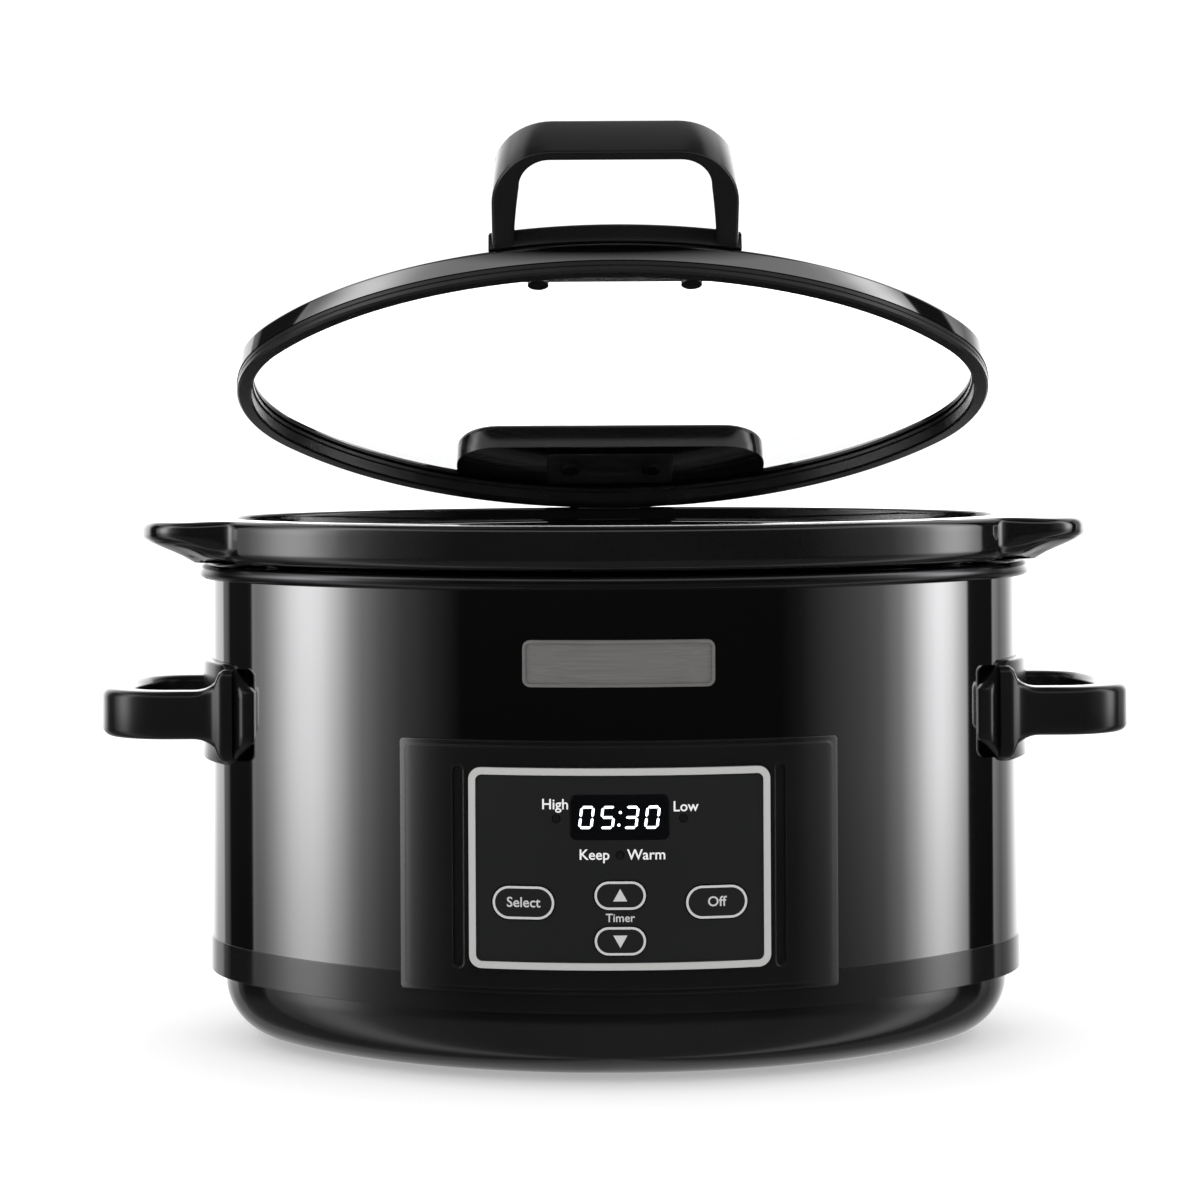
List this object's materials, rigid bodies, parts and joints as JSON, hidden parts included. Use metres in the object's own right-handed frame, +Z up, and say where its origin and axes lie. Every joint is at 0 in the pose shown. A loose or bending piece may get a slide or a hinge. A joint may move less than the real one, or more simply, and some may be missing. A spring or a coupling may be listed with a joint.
{
  "type": "slow cooker",
  "caption": "Oval slow cooker with a hinged glass lid standing part open, a lift-out glazed crock, a dark steel body and a digital front panel.",
  "frame": {"origin": "on the table under the middle of the whole cooker at rest, 6.45 mm behind the middle of its oval body", "axes": "+X to the right seen from the front, +Y to the back where the hinge is, +Z up"},
  "size_m": [0.428, 0.288, 0.3753],
  "materials": {
    "gloss_black": "gloss",
    "satin_black": "satin",
    "dark_steel": "polished dark",
    "well_steel": "dark polished",
    "bright_steel": "bright",
    "badge_metal": "brushed dark nickel",
    "silver_trim": "satin",
    "foil": "bright",
    "heater_band": "plain",
    "overlay": "satin",
    "key_plastic": "satin",
    "window_tint": "gloss, tinted",
    "display": "display face",
    "light_pipe": "clear",
    "circuit_board": "solder mask",
    "relay_blue": "plain",
    "coil_tape": "taped winding",
    "terminal_green": "plain",
    "switch_black": "plain",
    "insulator": "unglazed",
    "glaze_black": "gloss black glaze",
    "clear_glass": "clear",
    "seal_black": "satin",
    "foot_rubber": "matte"
  },
  "bodies": {
    "housing": {"base_moulding": "gloss_black", "rubber_feet": "foot_rubber", "outer_wrap": "dark_steel", "heating_well": "well_steel", "well_spacers": "insulator", "well_nuts": "bright_steel", "heater_band": "heater_band", "heater_clamp": "bright_steel", "heat_shield": "foil", "temperature_sensor": "insulator", "sensor_clip": "bright_steel", "thermal_fuse": "insulator", "power_board": "circuit_board", "power_relay": "relay_blue", "power_transformer": "coil_tape", "terminal_block": "terminal_green", "power_board_screws": "bright_steel", "panel_bezel": "gloss_black", "panel_overlay": "overlay", "panel_frame": "silver_trim", "display_window": "window_tint", "display_module": "display", "status_lights": "light_pipe", "control_board": "circuit_board", "tact_switches": "switch_black", "control_board_screws": "bright_steel", "badge_plate": "badge_metal", "left_handle": "satin_black", "right_handle": "satin_black", "handle_plates": "bright_steel", "handle_screws": "bright_steel", "hinge_socket": "satin_black", "socket_plate": "bright_steel", "socket_screws": "bright_steel", "cord_bush": "satin_black"},
    "crock": {"crock": "glaze_black"},
    "hinge_foot": {"hinge_foot": "satin_black", "hinge_pin": "bright_steel"},
    "lid": {"hinge_leaf": "bright_steel", "leaf_screws": "bright_steel", "hinge_cover": "gloss_black", "lid_glass": "clear_glass", "lid_ring": "dark_steel", "lid_seal": "seal_black", "lid_handle": "satin_black", "lid_handle_screws": "bright_steel"},
    "select_key": {"key_select": "key_plastic"},
    "off_key": {"key_off": "key_plastic"},
    "up_key": {"key_up": "key_plastic"},
    "down_key": {"key_down": "key_plastic"}
  },
  "joints": [
    {"name": "crock_lift", "type": "slide", "parent": "housing", "child": "crock", "axis": [0, 0, 1], "range_m": [0, 0.15]},
    {"name": "lid_lift", "type": "slide", "parent": "crock", "child": "hinge_foot", "axis": [0, 0, 1], "range_m": [0, 0.075]},
    {"name": "lid_hinge", "type": "hinge", "parent": "hinge_foot", "child": "lid", "pos_m": [0, 0.12355, 0.2222], "axis": [-1, 0, 0], "range_deg": [-24.4, 55.6]},
    {"name": "select_press", "type": "slide", "parent": "housing", "child": "select_key", "axis": [0, 1, 0], "range_m": [0, 0.0008], "stiffness_N_per_m": 1500},
    {"name": "off_press", "type": "slide", "parent": "housing", "child": "off_key", "axis": [0, 1, 0], "range_m": [0, 0.0008], "stiffness_N_per_m": 1500},
    {"name": "up_press", "type": "slide", "parent": "housing", "child": "up_key", "axis": [0, 1, 0], "range_m": [0, 0.0008], "stiffness_N_per_m": 1500},
    {"name": "down_press", "type": "slide", "parent": "housing", "child": "down_key", "axis": [0, 1, 0], "range_m": [0, 0.0008], "stiffness_N_per_m": 1500}
  ]
}
